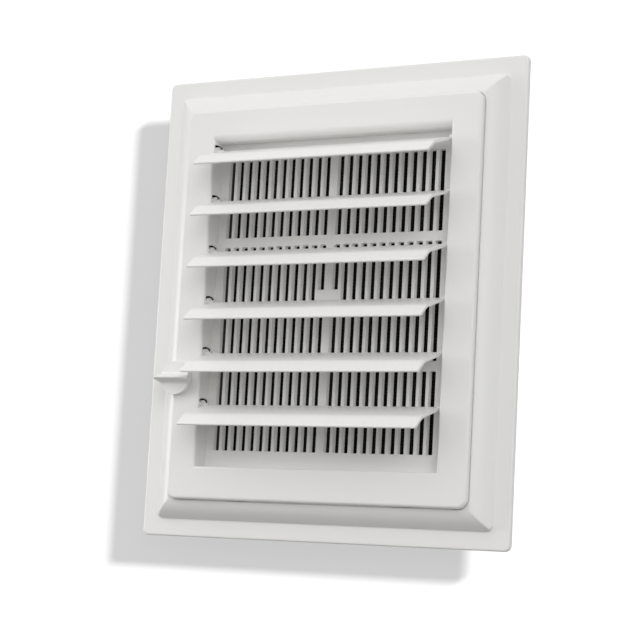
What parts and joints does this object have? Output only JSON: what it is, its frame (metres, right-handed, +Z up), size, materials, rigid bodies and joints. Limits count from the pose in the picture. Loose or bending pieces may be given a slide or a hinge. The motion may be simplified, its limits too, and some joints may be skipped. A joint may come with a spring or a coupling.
{
  "type": "louvred vent grille",
  "caption": "Wall vent grille: bevelled frame, raised panel with a slotted plate, and linked louvres that a side knob opens and closes.",
  "frame": {"origin": "on the wall plane, in the middle of the four wall screw holes", "axes": "+Y points into the wall, so the room side is -Y; +X points right seen from the room; +Z points up"},
  "size_m": [0.201, 0.0464, 0.236],
  "materials": {
    "white_plastic": "satin",
    "dark_plastic": "matt",
    "screw_steel": "zinc-plated",
    "screen_mesh": "matt"
  },
  "bodies": {
    "housing": {"wall_frame": "white_plastic", "front_panel": "white_plastic", "insect_screen": "screen_mesh", "screen_frame": "dark_plastic"},
    "louvre_1": {"louvre_1": "white_plastic", "crank_1": "dark_plastic"},
    "louvre_2": {"louvre_2": "white_plastic", "crank_2": "dark_plastic"},
    "louvre_3": {"louvre_3": "white_plastic", "crank_3": "dark_plastic"},
    "louvre_4": {"louvre_4": "white_plastic", "crank_4": "dark_plastic"},
    "louvre_5": {"louvre_5": "white_plastic", "crank_5": "dark_plastic"},
    "louvre_6": {"louvre_6": "white_plastic", "crank_6": "dark_plastic"},
    "link": {"link_bar": "dark_plastic"},
    "knob": {"knob": "white_plastic", "knob_lever": "dark_plastic", "knob_screw": "screw_steel"}
  },
  "joints": [
    {"name": "louvre_1_turn", "type": "hinge", "parent": "housing", "child": "louvre_1", "pos_m": [0, -0.0068, 0.0782], "axis": [1, 0, 0], "range_deg": [0, 60]},
    {"name": "louvre_2_turn", "type": "hinge", "parent": "housing", "child": "louvre_2", "pos_m": [0, -0.0068, 0.0521], "axis": [1, 0, 0], "range_deg": [0, 60]},
    {"name": "louvre_3_turn", "type": "hinge", "parent": "housing", "child": "louvre_3", "pos_m": [0, -0.0068, 0.026], "axis": [1, 0, 0], "range_deg": [0, 60]},
    {"name": "louvre_4_turn", "type": "hinge", "parent": "housing", "child": "louvre_4", "pos_m": [0, -0.0068, -0.0001], "axis": [1, 0, 0], "range_deg": [0, 60]},
    {"name": "louvre_5_turn", "type": "hinge", "parent": "housing", "child": "louvre_5", "pos_m": [0, -0.0068, -0.0262], "axis": [1, 0, 0], "range_deg": [0, 60]},
    {"name": "louvre_6_turn", "type": "hinge", "parent": "housing", "child": "louvre_6", "pos_m": [0, -0.0068, -0.0523], "axis": [1, 0, 0], "range_deg": [0, 60]},
    {"name": "link_swing", "type": "hinge", "parent": "louvre_1", "child": "link", "pos_m": [-0.0723, -0.0029, 0.07595], "axis": [1, 0, 0], "range_deg": [-60, 0]},
    {"name": "knob_turn", "type": "hinge", "parent": "housing", "child": "knob", "pos_m": [-0.079, -0.0127, -0.03895], "axis": [0, -1, 0], "range_deg": [0, 60]}
  ],
  "couplings": [
    {"joint": "louvre_2_turn", "follows": "louvre_1_turn", "ratio": 1},
    {"joint": "louvre_3_turn", "follows": "louvre_1_turn", "ratio": 1},
    {"joint": "louvre_4_turn", "follows": "louvre_1_turn", "ratio": 1},
    {"joint": "louvre_5_turn", "follows": "louvre_1_turn", "ratio": 1},
    {"joint": "louvre_6_turn", "follows": "louvre_1_turn", "ratio": 1},
    {"joint": "link_swing", "follows": "louvre_1_turn", "ratio": -1},
    {"joint": "knob_turn", "follows": "louvre_1_turn", "ratio": 1}
  ]
}
